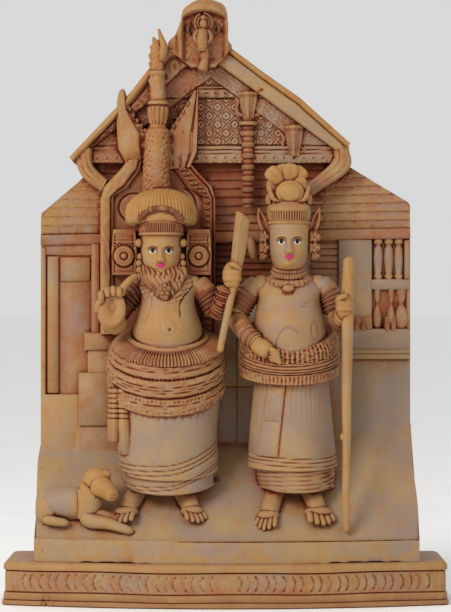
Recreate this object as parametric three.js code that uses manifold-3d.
// A shrine idol cast in resin: a bearded figure with a wide crown, a second figure with a staff, and a
// resting dog, in front of a gabled shrine. The casting stands on a plinth with a frieze of crescents.
// Millimetres, +Z up. The front faces -Y, and the origin is under the middle of the plinth.
import * as THREE from 'three';
import { mergeVertices } from 'three/addons/utils/BufferGeometryUtils.js';
import Module from 'manifold-3d';

const wasm = await Module();
wasm.setup();
const TAU = 2 * Math.PI;

// Driving dimensions
const PLINTH = {
  width: 152.4, depth: 58, height: 15, bow: 15, corner: 4,
  // Each course's bottom, top and inset
  courses: [[0, 1.9, 0], [1.9, 4.5, 0.5], [4.5, 12, 1.1], [12, 14.2, 0.3], [14.2, 15, 1.1]],
};
const FRIEZE = {
  bottom: 5, top: 11.6, pitch: 3.05, clear: 3.4, end: 70, reach: 1.2, hollow: 0.6, proud: 0.3, root: 2.2,
};
const CASTING = { halfWidth: 64.4, back: 24, wallFront: 9, lipTop: 22.8, lipInset: 2.5 };
const ROOF = {
  eave: 124, beam: 3.5, slats: 8, pitch: 3, lap: 1.1, tilt: THREE.MathUtils.degToRad(-1.05),
};
const GABLE = { panelFront: 5, boardFront: 0, knobFront: -3, foot: 151.3 };
const STUD = { pitch: 6, radius: 2.1, rise: 1.3 };
const THRONE = { axis: -23.4, panelFront: 2.2, borderFront: -0.6, foot: 92 };
const BEARDED = { x: -19.8, y: -6, headX: -22 };
const STAFFED = { x: 21.8, y: -6, headX: 21.7 };
const STONE = { color: 0xc9a77c, roughness: 0.55, metalness: 0 };

// The plinth's front line in plan, bowed out in the middle
const plinthFront = (x) => -PLINTH.depth / 2 + PLINTH.bow * (x / (PLINTH.width / 2)) ** 2;
// The front line of the casting's lip, which keeps a ledge of plinth before it
const lipFront = (x) => plinthFront(x) + CASTING.lipInset;
// The height at which the sloping ground meets the wall, higher towards the right end
const groundTop = (x) => 54 + 7 * THREE.MathUtils.smoothstep(x, 30, 50);

// Turns a closed geometry into a solid.
function solidOf(geometry) {
  const bare = geometry.clone();
  bare.deleteAttribute('normal');
  bare.deleteAttribute('uv');
  const merged = mergeVertices(bare, 1e-4);
  const vertProperties = merged.attributes.position.array;
  const triVerts = new Uint32Array(merged.index.array);
  return new wasm.Manifold(new wasm.Mesh({ numProp: 3, vertProperties, triVerts }));
}

// A closed skin: place(angle, rise) gives its point, with rise 0 at the lower pole and 1 at the upper one.
function shell(around, along, place) {
  const geometry = new THREE.SphereGeometry(1, around, along);
  const position = geometry.attributes.position;
  for (let i = 0; i < position.count; i++) {
    const row = Math.floor(i / (around + 1));
    const point = place((TAU * (i % (around + 1))) / around, 1 - row / along);
    position.setXYZ(i, point.x, point.y, point.z);
  }
  return solidOf(geometry);
}

// A closed skin through outlines stacked from the bottom up, each one
// [height, centre x, centre y, half width, half depth, drop], where drop lowers the front and lifts the back.
function stack(around, levels) {
  const last = levels.length - 1;
  return shell(around, last + 2, (angle, rise) => {
    const row = Math.round(rise * (last + 2)) - 1;
    const [z, x, y, halfWidth, halfDepth, drop = 0] = levels[Math.min(Math.max(row, 0), last)];
    const size = row < 0 || row > last ? 0 : 1;
    return new THREE.Vector3(
      x + size * halfWidth * Math.cos(angle),
      y + size * halfDepth * Math.sin(angle),
      z + size * drop * Math.sin(angle),
    );
  });
}

// A tapered round limb along a smooth path, with rounded ends. Its radii are spread evenly along it.
function limb(points, radii, { around = 6, along = 5, flat = 1, endShare = 0.22 } = {}) {
  const path = new THREE.CatmullRomCurve3(points.map((p) => new THREE.Vector3(...p)));
  const towards = new THREE.Vector3(0, -1, 0);
  return shell(around, along, (angle, rise) => {
    const step = rise * (radii.length - 1);
    const first = Math.min(Math.floor(step), radii.length - 2);
    const girth = THREE.MathUtils.lerp(radii[first], radii[first + 1], step - first);
    const end = 1 - Math.min(1, Math.min(rise, 1 - rise) / endShare);
    const radius = girth * Math.sqrt(1 - end * end);
    const ahead = path.getTangent(rise);
    const side = new THREE.Vector3().crossVectors(ahead, towards).normalize();
    const out = new THREE.Vector3().crossVectors(ahead, side);
    return path
      .getPoint(rise)
      .addScaledVector(side, radius * Math.cos(angle))
      .addScaledVector(out, flat * radius * Math.sin(angle));
  });
}

// An egg shape about a centre.
function egg([x, y, z], [rx, ry, rz], around = 7, along = 4) {
  return shell(around, along, (angle, rise) => {
    const latitude = Math.PI * (rise - 0.5);
    const ring = Math.abs(rise - 0.5) === 0.5 ? 0 : Math.cos(latitude);
    return new THREE.Vector3(
      x + rx * ring * Math.cos(angle),
      y + ry * ring * Math.sin(angle),
      z + rz * Math.sin(latitude),
    );
  });
}

// A prism along Z over an outline in [x, y] points.
function prism(outline, bottom, top) {
  const shape = new THREE.Shape(outline.map(([x, y]) => new THREE.Vector2(x, y)));
  const geometry = new THREE.ExtrudeGeometry(shape, { depth: top - bottom, bevelEnabled: false });
  return geometry.translate(0, 0, bottom);
}

// A flat plate between two depths, whose outline is given as seen from the front, in [x, z] points.
function plate(outline, front, back) {
  return solidOf(prism(outline, -back, -front).rotateX(Math.PI / 2));
}

// A rectangular block by its limits in x, z and depth.
function block([x0, x1], [z0, z1], front, back) {
  const geometry = new THREE.BoxGeometry(x1 - x0, back - front, z1 - z0);
  return solidOf(geometry.translate((x0 + x1) / 2, (front + back) / 2, (z0 + z1) / 2));
}

// A turned form about an upright axis, its profile given as [radius, height] from the bottom up.
function turned([x, y], profile, around = 12) {
  const points = [[0, profile[0][1]], ...profile, [0, profile.at(-1)[1]]];
  const geometry = new THREE.LatheGeometry(points.map(([r, z]) => new THREE.Vector2(r, z)), around);
  return solidOf(geometry.rotateX(Math.PI / 2).translate(x, y, 0));
}

// A round boss on a face that looks to the front.
function boss([x, z], radius, front, back, around = 12) {
  const geometry = new THREE.CylinderGeometry(radius, radius, back - front, around);
  return solidOf(geometry.translate(x, (front + back) / 2, z));
}

const union = (solids) => wasm.Manifold.union(solids.flat(2));

// The plinth

// The plinth's outline in plan, drawn in by an inset.
function plinthOutline(inset) {
  const side = PLINTH.width / 2 - inset;
  const back = PLINTH.depth / 2 - inset;
  const { corner } = PLINTH;
  const steps = 10;
  const points = [];
  for (let i = 0; i <= steps; i++) {
    const x = THREE.MathUtils.lerp(-side + corner, side - corner, i / steps);
    points.push([x, plinthFront(x) + inset]);
  }
  const shoulder = plinthFront(side) + inset;
  points.push([side - corner * 0.3, shoulder + corner * 0.3], [side, shoulder + corner]);
  points.push([side, back - corner], [side - corner * 0.3, back - corner * 0.3], [side - corner, back]);
  points.push([-side + corner, back], [-side + corner * 0.3, back - corner * 0.3], [-side, back - corner]);
  points.push([-side, shoulder + corner], [-side + corner * 0.3, shoulder + corner * 0.3]);
  return points;
}

// The frieze: crescents that open away from the middle, on the bowed front.
function crescents() {
  const { bottom, top, pitch, clear, end, reach, hollow, proud, root } = FRIEZE;
  const middle = (bottom + top) / 2;
  const made = [];
  for (let distance = clear; distance < end; distance += pitch) {
    for (const hand of [-1, 1]) {
      const x = hand * distance;
      const outline = [
        [-hollow * hand, bottom], [reach * hand, middle], [-hollow * hand, top], [0, middle],
      ];
      const slope = Math.atan(plinthFront(x + 0.5) - plinthFront(x - 0.5));
      const geometry = prism(outline, -root, -proud);
      made.push(solidOf(geometry.rotateX(Math.PI / 2).rotateZ(slope).translate(x, plinthFront(x), 0)));
    }
  }
  return made;
}

function plinth() {
  const courses = PLINTH.courses.map(([bottom, top, inset]) => prism(plinthOutline(inset), bottom, top));
  return union([courses.map(solidOf), crescents()]);
}

// The shrine front

// The ground: a lip that follows the bow of the plinth, and a slope from it up to the wall.
function ground() {
  const rows = [lipFront, () => CASTING.wallFront, () => CASTING.back];
  const heights = [() => CASTING.lipTop, groundTop, groundTop];
  const geometry = new THREE.BoxGeometry(2, 2, 1, 12, 2, 1);
  const position = geometry.attributes.position;
  for (let i = 0; i < position.count; i++) {
    const x = position.getX(i) * CASTING.halfWidth;
    const row = Math.round(position.getY(i) + 1);
    const z = position.getZ(i) > 0 ? heights[row](x) : PLINTH.height;
    position.setXYZ(i, x, rows[row](x), z);
  }
  return solidOf(geometry);
}

function wall() {
  const outline = [
    [-64.2, 40], [64.2, 40], [64.2, 137.3], [43, 150.2], [38, 154], [-47, 154], [-49.2, 146.5],
    [-64.2, 133.8],
  ];
  return plate(outline, CASTING.wallFront, CASTING.back);
}

// The beam and the lapped slats of the roof above it, all tilted a little, cut to the roof's outline.
function roof() {
  const { eave, beam, slats, pitch, lap, tilt } = ROOF;
  const front = CASTING.wallFront;
  const half = 70;
  const profiles = [
    [[front + 1, eave], [front + 1, eave + beam], [front - 2.2, eave + beam], [front - 2.2, eave]],
  ];
  for (let i = 0; i < slats; i++) {
    const foot = eave + beam + i * pitch;
    const top = foot + pitch;
    profiles.push([[front + 1, foot], [front + 1, top + 0.2], [front - 0.1, top], [front - lap, foot]]);
  }
  const courses = profiles.map((profile) => {
    const geometry = prism(profile, -half, half).rotateX(Math.PI / 2).rotateZ(Math.PI / 2);
    return solidOf(geometry.rotateY(tilt));
  });
  const outline = [
    [-64.2, 118], [64.2, 118], [64.2, 137.2], [43, 150.1], [36, 153], [-45, 152], [-49.2, 146.4],
    [-64.2, 133.7],
  ];
  return union(courses).intersect(plate(outline, front - 6, front + 2));
}

// The left bay: a framed door with its jamb, and a stepped pedestal.
function leftBay() {
  const front = CASTING.wallFront;
  return [
    block([-62, -58], [71.3, 119], front - 1.3, front + 1),
    block([-57.6, -46.9], [110.2, 118.8], front - 0.7, front + 1),
    block([-46.6, -43.6], [90, 123], front - 2, front + 1),
    block([-49, -37], [86.2, 92.5], front - 3.4, front + 1),
    block([-47.9, -37], [78, 86.4], front - 2.6, front + 1),
    block([-51, -37], [50, 78.6], front - 3.4, front + 1),
    block([-64.2, -50], [50, 71], front - 1.6, front + 1),
    block([-64.2, -62.4], [70, 122], front - 1.6, front + 1),
  ];
}

// The right bay: a plain jamb, a window of balusters over a rail, a shelf of pots and a stepped ledge.
function rightBay() {
  const front = CASTING.wallFront;
  const balusters = [53.1, 56.8, 60.1, 62.8].map((x) => turned([x, front], [
    [1.4, 110.6], [1, 113], [1.6, 118], [1.1, 124.8],
  ], 6));
  const pots = [53, 57.4, 61.7].map((x) => turned([x, front], [
    [1.3, 93], [2, 97.4], [0.8, 102.5], [1.5, 107.6],
  ], 6));
  return [
    ...balusters,
    ...pots,
    block([39.3, 50.9], [90, 125], front - 1.6, front + 1),
    block([50.6, 64.2], [107.4, 111], front - 1.8, front + 1),
    block([42, 64.2], [85.7, 93.8], front - 2, front + 1),
    block([42, 64.2], [83.2, 85.9], front - 2.8, front + 1),
    block([42, 64.2], [50, 83.6], front - 1.2, front + 1),
  ];
}

// The gable: its panel, bands and studded lattice, the barge boards with their turned-in feet, and the knob.
function gable() {
  const { panelFront, boardFront, knobFront, foot } = GABLE;
  const { back } = CASTING;
  const panel = plate(
    [[-48, foot], [39, foot], [39, 156], [-4, 188], [-12, 188], [-48, 156]], panelFront, back,
  );
  const rightBoard = plate([
    [-4.5, 186.8], [37.7, 155.8], [41.9, 155], [43, 157.8], [25.6, 173.6], [12.2, 183], [1.6, 191.2],
    [-6, 192],
  ], boardFront, back);
  const leftBoard = plate([
    [-6, 192], [-19.7, 191.4], [-26, 184.2], [-33, 175.2], [-54, 153], [-51.8, 151.4], [-46, 157],
    [-10, 187],
  ], boardFront, back);
  const footBack = CASTING.wallFront + 3;
  const rightFoot = plate([
    [37.7, 156.5], [36.8, 151.5], [27.8, 143.6], [29.8, 139.8], [42.6, 148.8], [42.4, 156.5],
  ], boardFront + 1, footBack);
  const leftFoot = plate([
    [-52.2, 152.6], [-49.6, 146.6], [-43, 141.4], [-41, 145.2], [-45.8, 150.4], [-46.4, 157],
    [-50, 157],
  ], boardFront + 1, footBack);
  const knob = plate([
    [-11, 186], [-4, 186], [2, 190.6], [0.9, 193.4], [0.9, 198], [0.4, 203.2], [-0.7, 205.4],
    [-3.2, 207.1], [-6.8, 207.3], [-12, 205.8], [-14.6, 203.6], [-15.6, 199.4], [-17.3, 195.4],
    [-19.7, 191.2],
  ], knobFront, back);
  const bands = [
    block([-46, 38], [foot, 154.4], panelFront - 1.6, back),
    block([-43, 36], [154.4, 157.2], panelFront - 1, back),
    block([-22, 12], [173.9, 177.6], panelFront - 0.8, back),
  ];
  return [panel, rightBoard, leftBoard, rightFoot, leftFoot, knob, ...bands, ...studs(), ...knobFigure()];
}

// Four-sided studs in the openings of the gable's lattice.
function studs() {
  const { pitch } = STUD;
  const origin = { x: -5.7, z: 161.6 };
  const made = [];
  for (let row = 0; row < 8; row++) {
    const z = origin.z + (row * pitch) / 2;
    for (let column = -6; column <= 6; column++) {
      const x = origin.x + (column + (row % 2) / 2) * pitch;
      const roofLine = 184 - Math.abs(x + 7) * 0.82;
      const hidden = (x < -9 && x > -40) || (z > 172 && z < 179);
      if (z + 3 > roofLine || hidden) continue;
      const { radius, rise } = STUD;
      const stud = new THREE.ConeGeometry(radius, rise, 4).rotateX(Math.PI);
      made.push(solidOf(stud.translate(x, GABLE.panelFront + 0.1 - rise / 2, z)));
    }
  }
  return made;
}

// The small figure that hangs under the knob, with its halo.
function knobFigure() {
  const front = GABLE.knobFront;
  const halo = plate(
    Array.from({ length: 12 }, (_, i) => {
      const angle = (TAU * i) / 12;
      return [-7.6 + 3 * Math.cos(angle), 199 + 3.4 * Math.sin(angle)];
    }),
    front - 0.8, front + 1,
  );
  return [
    halo,
    egg([-7.6, front - 1.2, 198.4], [1.8, 1.7, 2.2], 8, 5),
    stack(8, [
      [189, -8, front, 2.4, 1.6], [192, -7.9, front - 0.4, 2.9, 2.1], [196, -7.7, front - 0.4, 3.1, 1.7],
    ]),
    limb([[-7.8, front - 0.2, 190.5], [-8, front - 1, 186.5], [-8.2, front - 0.6, 182]], [2, 1.7, 1.8]),
    ...[-1, 1].map((hand) => limb([
      [hand * 3 - 7.8, front, 196], [hand * 4.6 - 7.8, front - 0.6, 192], [hand * 3 - 7.8, front - 1, 189.4],
    ], [1.2, 1, 1], { around: 4 })),
  ];
}

// The two tall lamps on the gable, each a bowl with side scrolls, the first one on a ringed pole.
function lamps() {
  const { panelFront } = GABLE;
  const axis = panelFront - 0.5;
  const lamp = (x, foot, height) => [
    turned([x, axis], [
      [1.6, foot], [3.2, foot + height * 0.5], [2.7, foot + height * 0.75], [3.3, foot + height],
    ], 6),
    ...[-1, 1].map((hand) => limb([
      [x + hand * 2, axis - 0.5, foot + 1.5], [x + hand * 5.2, axis - 0.5, foot + 3.5],
      [x + hand * 4.6, axis - 0.5, foot + 8.6],
    ], [1, 1.1, 0.9], { around: 4, along: 4 })),
  ];
  const rings = [];
  for (let z = 136; z < 163; z += 4.6) {
    rings.push([1.6, z], [2.1, z + 2.3]);
  }
  return [
    ...lamp(8, 166.4, 9.3),
    ...lamp(23.9, 154, 10.2),
    turned([7.8, axis], [...rings, [1.6, 163.6], [2.9, 165], [1.6, 166.6]], 6),
  ];
}

// The throne back behind the bearded figure: a panel, its horned border and the tall spire.
function throne() {
  const { axis, panelFront, borderFront, foot } = THRONE;
  const back = 11;
  const half = [
    [13.5, 176], [13.2, 165], [11.8, 158], [9, 153], [12.4, 149.4], [18.6, 142.8], [19.8, 138.4],
    [19.8, foot],
  ];
  const inner = [
    [15.3, foot], [15.3, 139.6], [10.2, 142.8], [5.8, 149], [5, 155], [4.2, 163],
  ];
  const border = [...half, ...inner];
  const mirrored = (outline, hand) => outline.map(([x, z]) => [axis + hand * x, z]);
  const panel = [
    [4, 163], [5.4, 150], [12.4, 146], [18, 140], [18, foot], [-18, foot], [-18, 140], [-12.4, 146],
    [-5.4, 150], [-4, 163],
  ];
  return [
    plate(mirrored(panel, 1), panelFront, back),
    plate(mirrored(border, 1), borderFront, back),
    plate(mirrored(border, -1), borderFront, back),
    turned([axis - 0.2, -1.5], [
      [5.6, 136], [4.1, 152], [3.9, 162.6], [2.9, 164.4], [3.9, 168.6], [2.9, 174], [2.8, 181.4],
      [3.2, 182.6], [2.4, 186], [2.3, 191.6], [1.3, 194.4], [0.3, 197.4],
    ], 8),
  ];
}

// The figures

// A foot on the sloping ground, from the heel to the toes.
function foot([heelX, heelY, heelZ], [toeX, toeY, toeZ]) {
  const instep = [(heelX + toeX) / 2, (heelY + toeY) / 2, (heelZ + toeZ) / 2 + 0.8];
  return [
    limb(
      [[heelX, heelY + 1, heelZ + 4], [heelX, heelY, heelZ], instep, [toeX, toeY, toeZ]],
      [2.8, 2.9, 3, 2.9],
    ),
    egg([toeX, toeY - 0.4, toeZ], [3.3, 1.8, 2]),
  ];
}

// A row of pleats that stands out around the waist and hangs lower in front.
function pleats(x, y, [z, halfWidth, halfDepth, drop], depth) {
  const count = 28;
  return shell(count, 4, (angle, rise) => {
    const row = Math.round(rise * 4) - 2;
    const reach = Math.abs(row) === 2 ? 0 : 1 - 0.16 * Math.abs(row);
    const inset = Math.round((angle / TAU) * count) % 2 ? depth : 0;
    return new THREE.Vector3(
      x + reach * (halfWidth - inset) * Math.cos(angle),
      y + reach * (halfDepth - inset) * Math.sin(angle),
      z + row * 1.5 + reach * drop * Math.sin(angle),
    );
  });
}

// The bearded figure: its body in levels from the hem to the top of the crown, and what stands out from it.
function beardedFigure() {
  const { x, y, headX } = BEARDED;
  const body = stack(16, [
    [41.4, x + 0.4, y, 14.8, 14, 4], [42.2, x + 0.4, y, 16.2, 15.4, 4], [45.6, x + 0.4, y, 16, 15.2, 3.6],
    [46.2, x + 0.4, y, 16.8, 15.9, 3.6], [50.6, x + 0.2, y, 17.2, 15.8, 3.4], [58.4, x, y, 17, 15.4, 3.4],
    [59, x, y, 17.9, 16, 3.6], [72.8, x - 0.2, y, 18.4, 15.6, 6], [73.4, x - 0.4, y, 20.3, 17, 8.6],
    [78.8, x - 0.4, y, 20.6, 17.2, 8.6], [80, x - 0.4, y, 19.2, 16, 8.6], [81, x - 0.4, y, 20.6, 17, 8.4],
    [84.4, x - 0.4, y, 20.2, 16.8, 8.4], [88.6, x, y, 15, 14, 5], [91.4, x, y - 1.4, 12.4, 12.8, 4],
    [98.6, x, y - 3, 10.3, 10.8], [103.6, x, y - 2.2, 10.4, 9], [108.6, x - 0.3, y - 1.4, 11.4, 7],
    [112, x - 0.6, y - 1, 9.2, 5.6], [115, headX, y - 2.4, 6, 6.6], [126.4, headX, y - 3, 6.7, 7],
    [126.9, headX, y - 2.6, 7.9, 8], [129.6, headX, y - 2.4, 8.1, 8.1], [131.6, headX, y - 2, 9.9, 9.6],
    [134.2, headX, y - 1.2, 12.2, 10], [138.4, headX, y - 0.4, 10.4, 8], [141.8, headX, y + 0.8, 4.2, 3.6],
  ]);
  const nose = egg([headX, y - 10, 119.6], [1.1, 1.1, 1.8], 4, 3);
  const beard = stack(10, [
    [102.4, -20, y - 9, 1.6, 2], [105, -20.4, y - 7.4, 4.4, 4.6], [109, -21.4, y - 5.4, 7.2, 6.6],
    [112.8, -21.9, y - 4, 8, 6.8], [118, -22, y - 2, 7.2, 5.4],
  ]);
  const earPanels = [-34.8, -9.2].flatMap((middle) => [
    block([middle - 3.9, middle + 3.9], [112.8, 128], y - 0.4, 5),
    boss([middle, 118.6], 3.6, y - 1.4, 3),
    boss([middle, 118.6], 1.6, y - 2.2, 3, 6),
  ]);
  const raisedArm = [
    limb([[-27.5, y - 1, 109.4], [-32.4, y - 3, 105], [-38, y - 5, 97]], [4.4, 4, 3.9]),
    limb(
      [[-38.4, y - 4.4, 96.4], [-38.8, y - 8, 99], [-38.4, y - 10, 106.6]], [3.8, 4.8, 3.8], { flat: 0.8 },
    ),
    limb(
      [[-37.6, y - 10, 105.6], [-34, y - 10.2, 109.8], [-31, y - 9.6, 112]], [1.7, 1.4, 1.1],
      { around: 4, along: 4 },
    ),
  ];
  const leftArm = [
    limb([[-10.4, y - 1, 109.4], [-6.6, y - 2.6, 105.4], [-3, y - 4, 99]], [4.6, 4.2, 3.8]),
    limb([[-3.2, y - 4.6, 98.6], [-1.2, y - 8.4, 102.4], [0.8, y - 10.8, 112]], [3.2, 2.9, 3]),
  ];
  const club = limb([
    [6.1, y - 9.4, 133.4], [4.3, y - 10.4, 119], [1.8, y - 11.6, 104.6], [-0.4, y - 13, 94],
    [-2, y - 15, 86],
  ], [2.1, 2.1, 1.8, 1.3, 1.2, 1.2], { around: 4, along: 6, endShare: 0.03 });
  const sash = stack(8, [
    [50.6, -33.6, y - 4, 2.6, 6], [60, -35.9, y - 4, 3.8, 7.2], [72, -35.6, y - 4, 3.8, 7],
  ]);
  const feet = [
    foot([-31, -9.6, 38], [-35.8, -19, 28.6]),
    foot([-14.4, -10, 38], [-9, -20.8, 28.6]),
  ];
  return [
    body, nose, pleats(x, y, [90, 16.6, 14.6, 5.6], 0.9), beard, earPanels, raisedArm, leftArm, club,
    sash, feet,
  ].flat(2);
}

// The figure with the staff, built in the same way.
function staffedFigure() {
  const { x, y, headX } = STAFFED;
  const body = stack(16, [
    [40, x + 2.6, y, 11.6, 12.4, 1.8], [40.8, x + 2.6, y, 12.8, 13.6, 1.8], [46.8, x + 2, y, 13.4, 14, 1.4],
    [47.2, x + 1.2, y, 15.3, 15, 1.4], [50.6, x + 1, y, 15.2, 14.8, 1.4], [51.2, x + 0.8, y, 14.7, 14.4, 1.4],
    [78.2, x, y, 13.4, 14.4, 3], [78.8, x, y, 17.2, 17, 3.6], [81.8, x, y, 17.4, 17, 3.8],
    [82.6, x, y, 16.4, 16, 4.6], [84.8, x, y, 17.2, 16.6, 5.4], [89, x, y, 15.8, 15.6, 5.4],
    [91, x, y - 1.8, 12.2, 13.4, 4.4], [98.6, x, y - 3.4, 11.6, 11.8], [103.6, x, y - 2.2, 11, 9.6],
    [108.8, x, y - 1.6, 12.4, 7.8, 1.6], [110, x, y - 1.6, 9.6, 8.4, 2.4], [112.4, x, y - 1.6, 9.2, 8, 2],
    [113, x, y - 1.6, 6.6, 6.6, 1.6], [116, headX, y - 3, 4.8, 5.6], [119.6, headX, y - 3.4, 6.1, 6.8],
    [129.6, headX, y - 3, 6.7, 7], [130.2, headX, y - 2.4, 7.3, 7.5], [134.2, headX, y - 2.4, 7.4, 7.5],
    [138, headX, y - 0.8, 5.8, 5], [144, headX + 0.1, y, 7.7, 5.2], [149, headX, y, 6.4, 4.4],
    [151, headX, y, 3.2, 2.6],
  ]);
  const nose = egg([headX, y - 10, 122.4], [1, 1.1, 1.9], 4, 3);
  const crest = [
    boss([headX + 0.8, 143.2], 5, y - 6.2, y, 12),
    ...[-5.4, 0, 5.4].map((side) => egg(
      [headX + side, y - 2.4, 148.2 - 0.04 * side * side], [3.2, 3.4, 2.8],
    )),
  ];
  const leaf = [[6, 126], [8.6, 128.6], [10.6, 135.8], [7.6, 132.6], [6, 129.6]];
  const ears = [
    plate(leaf.map(([px, pz]) => [headX + px, pz]), y - 3.4, 2),
    plate(leaf.map(([px, pz]) => [headX - px, pz]), y - 3.4, 2),
    ...[-8.2, 8.2].map((side) => egg([headX + side, y - 2.4, 123.6], [2.3, 2.4, 4.2])),
  ];
  const restingArm = [
    limb([[12, y - 1, 109.6], [7, y - 2.4, 105.4], [3, y - 3.6, 98]], [4.4, 4.2, 3.9]),
    limb([[3.2, y - 4, 98], [6.8, y - 8.6, 92.6], [11.4, y - 12.4, 88.4]], [3.6, 3.2, 3]),
    limb([[9.6, y - 11.6, 89], [13, y - 14.4, 86.6], [17.4, y - 16, 84.6]], [2.7, 3, 2.1], { flat: 0.8 }),
  ];
  const staffArm = [
    limb([[31.6, y - 1, 109.6], [35.6, y - 2.4, 105.6], [37.6, y - 4, 99]], [4.4, 4.2, 3.8]),
    limb([[37.4, y - 4, 99], [39, y - 8, 99.8], [40.2, y - 11, 105.6]], [3.3, 3.2, 3.1]),
  ];
  const staff = limb(
    [[41.9, y - 9.8, 119], [41.3, y - 11.6, 94], [40.9, y - 14, 58], [40.7, y - 15, 25]],
    [2, 1.9, 1.5, 1.3, 1.2, 1.2], { along: 6, endShare: 0.04 },
  );
  const sash = stack(8, [
    [51, 15.6, y - 9.6, 2.8, 3.4], [66, 16.2, y - 9, 2.7, 3.4], [79, 16.6, y - 8.4, 2.6, 3.6],
  ]);
  const feet = [
    foot([17.6, -10, 38.6], [13.4, -20.6, 27.2]),
    foot([29, -10, 38.6], [33.2, -19.4, 28.8]),
  ];
  return [
    body, nose, pleats(x, y, [89.6, 15.6, 14.6, 5.4], 0.8), crest, ears, restingArm, staffArm, staff,
    sash, feet,
  ].flat(2);
}

// The dog that rests at the left, its head turned to the front.
function dog() {
  return [
    limb([[-60, -8, 36.4], [-54, -11, 38], [-47.6, -13.4, 36.6]], [4.6, 6, 5.4], { around: 8 }),
    egg([-59, -12.4, 32.6], [4.6, 4.6, 5]),
    limb([[-47.6, -13.6, 35], [-45, -15.4, 42.6]], [4.8, 5], { along: 4 }),
    egg([-43.8, -16, 42.6], [5.2, 4.4, 4.6]),
    limb([[-43, -17.6, 42], [-39.6, -19.2, 38.6], [-37.2, -20, 36.2]], [3, 2.4, 1.9], { along: 4 }),
    limb(
      [[-47.6, -16.4, 43], [-48.4, -18, 39], [-46.4, -18.6, 36.6]], [1.5, 1.8, 1], { around: 4, along: 4 },
    ),
    limb([[-41, -15.4, 45.6], [-38.8, -15.6, 47.4]], [1.7, 1], { around: 4, along: 4 }),
    limb([[-47.6, -15.6, 33], [-43, -19, 29.4], [-32.4, -20.6, 26.2]], [3.2, 2.2, 1.7], { along: 4 }),
    limb([[-55, -13, 30.6], [-58.4, -16, 28.6], [-62, -16.4, 28.4]], [2.4, 2.2, 1.7], { along: 4 }),
  ];
}

function casting() {
  return union([
    ground(), wall(), roof(), leftBay(), rightBay(), gable(), lamps(), throne(), beardedFigure(),
    staffedFigure(), dog(),
  ]);
}

// A named mesh from a solid.
function mesh(name, solid) {
  const { vertProperties, triVerts } = solid.getMesh();
  const geometry = new THREE.BufferGeometry();
  geometry.setAttribute('position', new THREE.BufferAttribute(vertProperties, 3));
  geometry.setIndex(new THREE.BufferAttribute(triVerts, 1));
  geometry.computeVertexNormals();
  const made = new THREE.Mesh(geometry, new THREE.MeshStandardMaterial(STONE));
  made.name = name;
  return made;
}

const idol = new THREE.Group();
idol.add(mesh('plinth', plinth()), mesh('shrine_casting', casting()));

export default idol;
